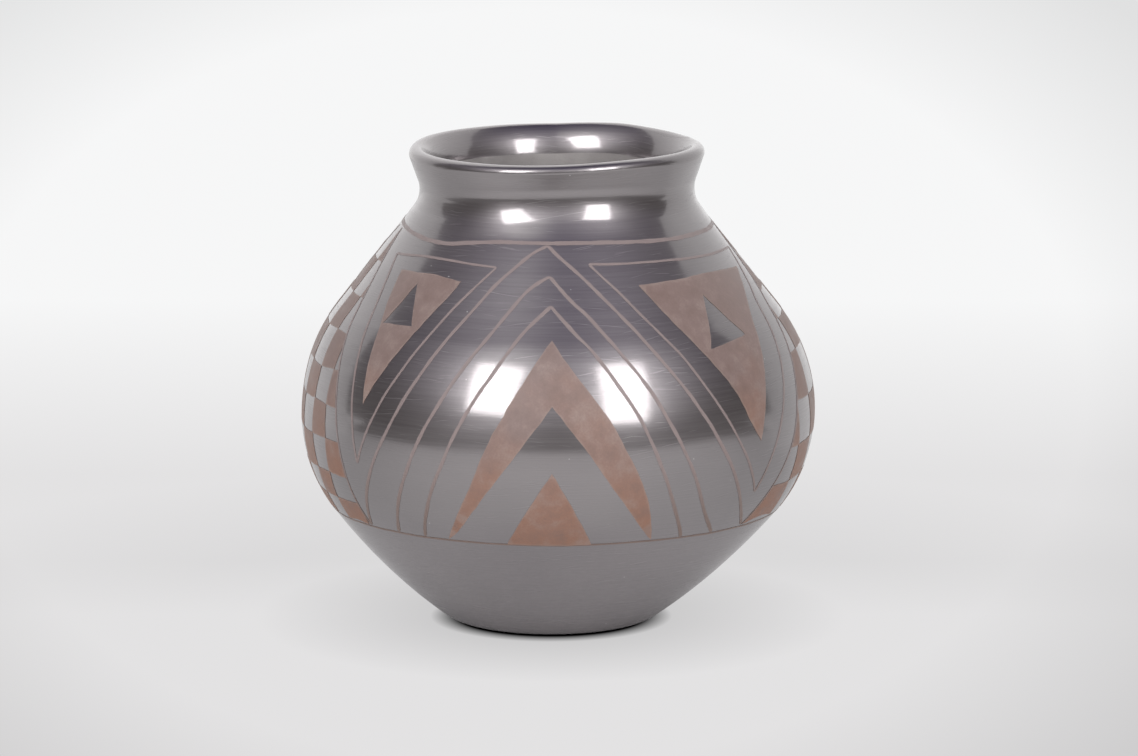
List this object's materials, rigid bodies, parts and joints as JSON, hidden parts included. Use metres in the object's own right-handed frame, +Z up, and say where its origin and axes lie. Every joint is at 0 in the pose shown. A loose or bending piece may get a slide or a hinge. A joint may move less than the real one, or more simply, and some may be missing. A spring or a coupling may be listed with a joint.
{
  "type": "pottery jar",
  "caption": "Round-bellied, hand-built pottery jar with a narrow flared neck and a flat foot, burnished dark, with a painted band of chevrons, triangles and checks.",
  "frame": {"origin": "centre of the flat foot, on the surface that the jar stands on", "axes": "+Z up along the jar's axis, -Y towards the front of the painted design, +X to its right"},
  "size_m": [0.2006, 0.2, 0.186],
  "materials": {
    "burnished_clay": "stone-burnished black clay with a graphite sheen",
    "painted_slip": "matte brown slip, brushed on"
  },
  "bodies": {
    "root": {"base_bowl": "burnished_clay", "lower_wall_coil": "burnished_clay", "belly_coil": "burnished_clay", "upper_wall_coil": "burnished_clay", "shoulder_coil": "burnished_clay", "neck_coil": "burnished_clay", "rim_coil": "burnished_clay", "base_line": "painted_slip", "neck_line": "painted_slip", "outer_chevrons": "painted_slip", "middle_chevrons": "painted_slip", "inner_chevrons": "painted_slip", "wedges": "painted_slip", "triangles": "painted_slip", "left_hooks": "painted_slip", "right_hooks": "painted_slip", "left_frames": "painted_slip", "right_frames": "painted_slip", "left_borders": "painted_slip", "right_borders": "painted_slip", "checkers": "painted_slip"}
  },
  "joints": []
}
